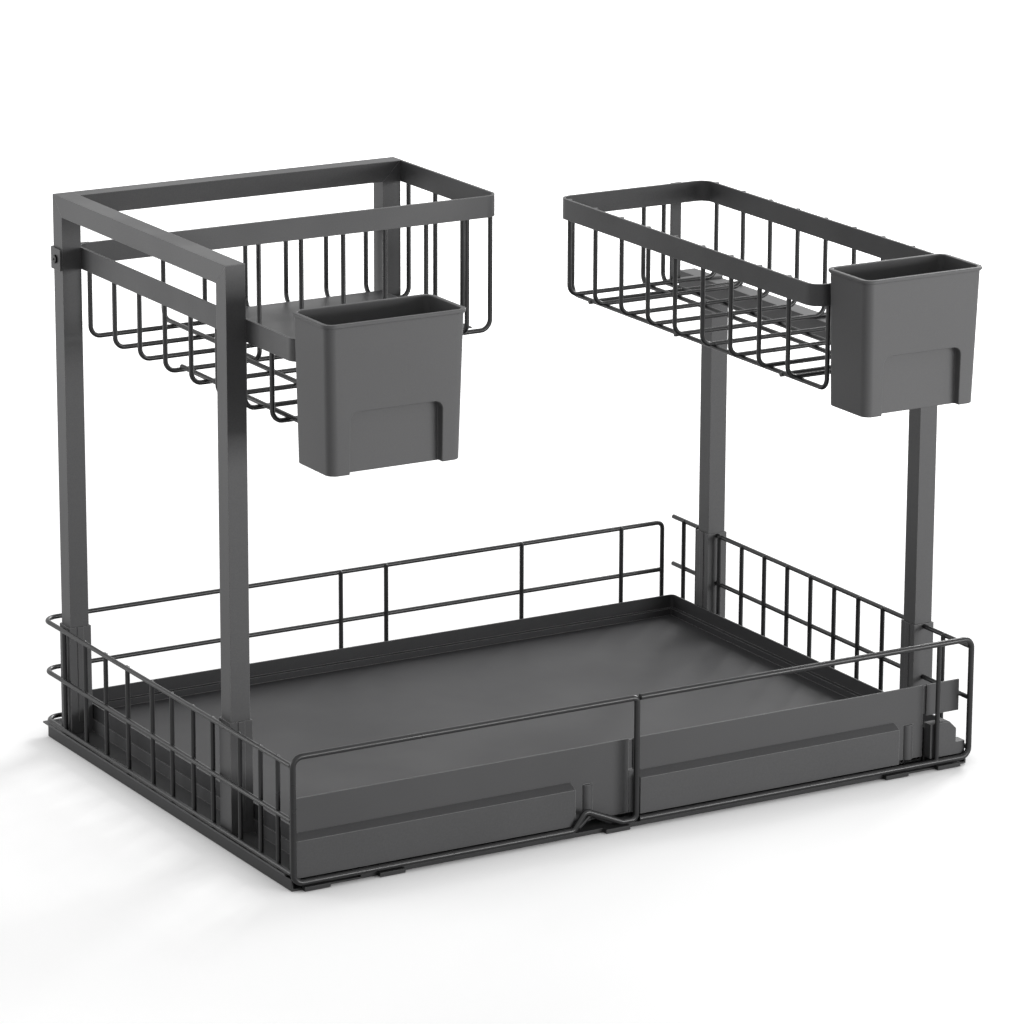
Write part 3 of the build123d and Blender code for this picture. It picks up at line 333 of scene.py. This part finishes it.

# Wire: drawn rod, bent and resistance-welded, then coated together with its welds.
# Its colour, much darker than the sheet's, is painted shade; each wire also mirrors the dark
# pieces around it.
wire_steel = coated(
    "wire_steel", mirror=0.45, colour=(0.022, 0.022, 0.023, 1),
    edge_colour=(0.04, 0.04, 0.04, 1), speck_size=0.0005, smooth=0.26, rough=0.36,
)
dress(
    wire_steel, "left_front_loop", "right_front_loop", "finger_pull", "left_fence",
    "back_fence", "right_fence_front", "right_fence_middle", "right_fence_rear",
    "left_basket_wires", "rear_basket_wires", "right_basket_wires",
)

# Weld beads: where two wires cross, the current sinks them into each other and presses out a
# small collar of steel. It is coated with the wires and shows as a knot at every crossing.


def alone():
    """Deselects everything, the CAD nodes too, before an operator makes or shapes a piece."""
    if bpy.context.mode != "OBJECT":
        bpy.ops.object.mode_set(mode="OBJECT")
    bpy.ops.object.select_all(action="DESELECT")


def pick(piece, wanted):
    """Selects the faces whose middle and normal are wanted, and goes to edit mode."""
    bpy.ops.object.mode_set(mode="OBJECT")
    for face in piece.data.polygons:
        face.select = bool(wanted(face.center, face.normal))
    bpy.ops.object.mode_set(mode="EDIT")
    bpy.ops.mesh.select_mode(type="FACE")


def lay_out(name, model, places):
    """One piece out of copies of a model, each at its place and facing its own way."""
    copies = []
    for place, facing in places:
        copy = bpy.data.objects.new(name, model.data.copy())
        bpy.context.scene.collection.objects.link(copy)
        turned = Vector(facing).to_track_quat("Z", "Y").to_matrix().to_4x4()
        copy.data.transform(Matrix.Translation(place) @ turned)
        copies.append(copy)
    alone()
    for copy in copies:
        copy.select_set(True)
    bpy.context.view_layer.objects.active = copies[0]
    bpy.ops.object.join()
    copies[0].name = name
    return copies[0]


def hand_over(piece, material, body, slot, *replaced):
    """Puts a finished piece on its body with its material, and hides the nodes it stands for."""
    piece.data.materials.clear()
    piece.data.materials.append(material)
    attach(piece, body)
    if replaced:
        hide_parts(*replaced)


bead_r, bead_squash, bead_end, bead_taper = 0.0024, 0.86, 0.62, 0.8
alone()
bpy.ops.mesh.primitive_uv_sphere_add(segments=10, ring_count=6, radius=bead_r)
bead = bpy.context.active_object
bpy.ops.object.mode_set(mode="EDIT")
bpy.ops.mesh.select_all(action="SELECT")
bpy.ops.transform.resize(value=(1, 1, bead_squash))
pick(bead, lambda middle, normal: abs(middle.z) > bead_r * bead_end)
bpy.ops.transform.resize(value=(bead_taper, bead_taper, 1))
bpy.ops.object.mode_set(mode="OBJECT")
bpy.ops.object.shade_smooth()

across, back, up = (1, 0, 0), (0, 1, 0), (0, 0, 1)
fence_wide, fence_deep = 0.566, 0.404
side_plane, back_plane = 0.28225, 0.20125
fence_levels = (0.01295, 0.0515, 0.091)
left_uprights = [
    fence_deep * (share - 0.5)
    for share in (0.062, 0.126, 0.203, 0.307, 0.383, 0.467, 0.546, 0.646, 0.737, 0.823, 0.914)
]
back_uprights = [fence_wide * (share - 0.5) for share in (0.448, 0.519, 0.736, 0.9)]
right_uprights = [fence_deep * (share - 0.5) for share in (0.084, 0.929, 0.98)]
right_first, right_pitch, right_count = -0.0886, 0.032757, 8
right_uprights += [right_first + i * right_pitch for i in range(right_count)]
for name, places in (
    ("left_fence_welds", [
        ((-side_plane, y, z), across) for y in left_uprights for z in fence_levels
    ]),
    ("back_fence_welds", [
        ((x, back_plane, z), back) for x in back_uprights for z in fence_levels
    ]),
    ("right_fence_welds", [
        ((side_plane, y, z), across) for y in right_uprights for z in fence_levels
    ]),
):
    hand_over(lay_out(name, bead, places), wire_steel, "tray", "coated_steel")

left_level, right_level = 0.31635, 0.303
cross_first, cross_pitch, cross_count, rear_count = 0.158, 0.0412, 8, 4
cross_rows = [cross_first - i * cross_pitch for i in range(cross_count)]
left_lines = (-0.24675, -0.196725)
rear_line_first, rear_line_pitch, rear_line_count = -0.191, 0.0342, 6
rear_lines = [rear_line_first + i * rear_line_pitch for i in range(rear_line_count)]
right_row_first, right_row_pitch, right_row_count = -0.162, 0.0382, 9
right_rows = [right_row_first + i * right_row_pitch for i in range(right_row_count)]
right_lines = (0.15296, 0.21756, 0.23592)
for name, lines, rows, height in (
    ("left_basket_welds", left_lines, cross_rows[rear_count:], left_level),
    ("rear_basket_welds", rear_lines, cross_rows[:rear_count], left_level),
    ("right_basket_welds", right_lines, right_rows, right_level),
):
    places = [((x, y, height), up) for x in lines for y in rows]
    hand_over(lay_out(name, bead, places), wire_steel, "tray", "coated_steel")
bpy.data.objects.remove(bead)

# Posts and their sockets: square tube, cut and drilled, that drops into folded sleeves.
# The frame's tubes are mitred and welded, and ground smooth before they are coated.
tube_steel = coated(
    "tube_steel", colour=(0.125, 0.125, 0.127, 1), edge_colour=(0.3, 0.3, 0.3, 1),
    patch_size=0.08,
)
dress(
    tube_steel, "front_left_post", "rear_left_post", "front_right_post", "rear_right_post",
    "front_left_socket", "rear_left_socket", "front_right_socket", "rear_right_socket",
    "left_top_tube", "rear_top_tube", "hanging_post", "right_top_tube",
)

# Flat strip of the basket rims, the guard and the straps, and the thin plate of the rear
# basket. The strip is bent on edge and keeps its sharp rolled edges under the coat.
strip_steel = coated(
    "strip_steel", colour=(0.105, 0.105, 0.107, 1), edge_colour=(0.34, 0.34, 0.34, 1),
)
dress(
    strip_steel, "left_basket_rim", "right_basket_rim", "guard_band", "post_strap",
    "back_strap", "floor_plate",
)

# Screws that hold the posts in their sockets, and the rim and its strap on the left posts.
# Blackened steel with a rounded pan head and a cross recess, driven in from the back or the
# side. Each is turned as a head on a shank, and the recess is cut with a tapered blade.
screw_steel = coated(
    "screw_steel", colour=(0.04, 0.04, 0.04, 1), edge_colour=(0.2, 0.2, 0.2, 1), smooth=0.25,
    rough=0.4,
)
head_r, head_high, shank_r, shank = 0.0032, 0.0016, 0.0019, 0.0052
head_round, head_steps, sharp_angle = 0.0007, 4, math.radians(32)
blade_size, blade_tip = (0.0034, 0.00085, 0.0016), (0.45, 0.6, 1)
alone()
bpy.ops.mesh.primitive_cylinder_add(
    vertices=32, radius=head_r, depth=head_high, location=(0, 0, head_high / 2)
)
screw = bpy.context.active_object
bpy.ops.object.transform_apply()
pick(screw, lambda middle, normal: normal.z > 0.9)
bpy.ops.mesh.bevel(offset=head_round, segments=head_steps, affect="EDGES")
pick(screw, lambda middle, normal: normal.z < -0.9)
bpy.ops.mesh.inset(thickness=head_r - shank_r)
bpy.ops.mesh.extrude_region_move(TRANSFORM_OT_translate={"value": (0, 0, -shank)})
alone()
bpy.ops.mesh.primitive_cube_add(size=1, location=(0, 0, head_high))
blade = bpy.context.active_object
blade.scale = blade_size
bpy.ops.object.transform_apply()
pick(blade, lambda middle, normal: normal.z < -0.9)
bpy.ops.transform.resize(value=blade_tip)
bpy.ops.object.mode_set(mode="OBJECT")
for turned in (0, math.pi / 2):
    blade.rotation_euler = (0, 0, turned)
    bpy.context.view_layer.update()
    alone()
    screw.select_set(True)
    bpy.context.view_layer.objects.active = screw
    cross = screw.modifiers.new("cross", "BOOLEAN")
    cross.operation = "DIFFERENCE"
    cross.object = blade
    cross.solver = "EXACT"
    bpy.ops.object.modifier_apply(modifier="cross")
bpy.data.objects.remove(blade)
bpy.ops.object.shade_smooth_by_angle(angle=sharp_angle)
socket_level, rim_level = 0.036, 0.373
socket_places = [
    ((x, y, socket_level), back)
    for x, y in ((-0.2703, -0.0835), (-0.2703, 0.1797), (0.283, -0.1236), (0.283, 0.1637))
]
rim_places = [
    ((-0.2607, -0.09595, rim_level), across), ((-0.2799, 0.171, rim_level), (-1, 0, 0)),
]
for node, places in (("socket_screws", socket_places), ("rim_screws", rim_places)):
    hand_over(lay_out(node + "_cut", screw, places), screw_steel, "tray", "screw_steel", node)
bpy.data.objects.remove(screw)

# Caps in the open ends of the right tube and the hanging post: black plastic, moulded with a
# short plug that is pushed into the tube.
cap_plastic = coated(
    "cap_plastic", colour=(0.03, 0.03, 0.03, 1), edge_colour=(0.05, 0.05, 0.05, 1), smooth=0.5,
    rough=0.6,
)
dress(cap_plastic, "hanging_post_cap", "right_tube_caps")

# Cups: injection-moulded plastic with a fine spark-eroded grain, hooked over the basket rims.
# The mould leaves small round edges on the lip, the recess and the corners, so each cup is the
# CAD cup merged into one skin with its edges rounded.
cup_plastic = coated(
    "cup_plastic", colour=(0.145, 0.145, 0.147, 1), edge_colour=(0.26, 0.26, 0.26, 1),
    speck_size=0.0004, patch_size=0.15, skin_depth=0.00002, smooth=0.5, rough=0.58,
)
merge_gap, flat_angle = 0.00001, math.radians(0.6)
cup_round, cup_steps = 0.0007, 3
for node in ("left_cup", "right_cup"):
    cup = bpy.data.objects.new(node + "_moulding", nodes[node].data.copy())
    cup.data.transform(nodes[node].matrix_world)
    bpy.context.scene.collection.objects.link(cup)
    alone()
    cup.select_set(True)
    bpy.context.view_layer.objects.active = cup
    bpy.ops.mesh.customdata_custom_splitnormals_clear()
    bpy.ops.object.mode_set(mode="EDIT")
    bpy.ops.mesh.select_all(action="SELECT")
    bpy.ops.mesh.remove_doubles(threshold=merge_gap)
    bpy.ops.mesh.dissolve_limited(angle_limit=flat_angle)
    bpy.ops.object.mode_set(mode="OBJECT")
    bpy.ops.object.shade_smooth()
    soft_edge = cup.modifiers.new("soft edge", "BEVEL")
    soft_edge.width = cup_round
    soft_edge.segments = cup_steps
    soft_edge.limit_method = "ANGLE"
    soft_edge.angle_limit = sharp_angle
    soft_edge.harden_normals = True
    bpy.ops.object.modifier_apply(modifier="soft edge")
    hand_over(cup, cup_plastic, node, "cup_plastic", node)
